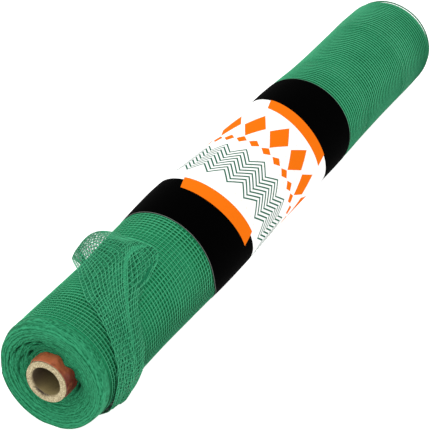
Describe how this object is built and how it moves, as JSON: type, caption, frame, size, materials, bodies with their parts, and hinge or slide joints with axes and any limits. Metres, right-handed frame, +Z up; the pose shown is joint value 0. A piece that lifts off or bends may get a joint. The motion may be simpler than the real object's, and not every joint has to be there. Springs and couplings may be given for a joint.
{
  "type": "safety netting roll",
  "caption": "Roll of green knitted mesh netting on a cardboard tube, held by a printed sleeve, with its last turn slack near one end.",
  "frame": {"origin": "centre of the flat spot that the roll rests on, under the middle of its length, on the printed sleeve", "axes": "+X along the roll, from the end where the tube and the slack turn show towards the other end; +Z up"},
  "size_m": [1.311, 0.2173, 0.2025],
  "materials": {
    "green_net": "knitted polyethylene thread, satin",
    "cardboard": "rough, cut edge shows its plies",
    "red_brown_paper": "crumpled, slightly glossy",
    "printed_film": "printed sleeve, satin"
  },
  "bodies": {
    "root": {"net_roll": "green_net", "core_tube": "cardboard", "core_wrap": "red_brown_paper", "label_band": "printed_film", "loose_end": "green_net"}
  },
  "joints": []
}
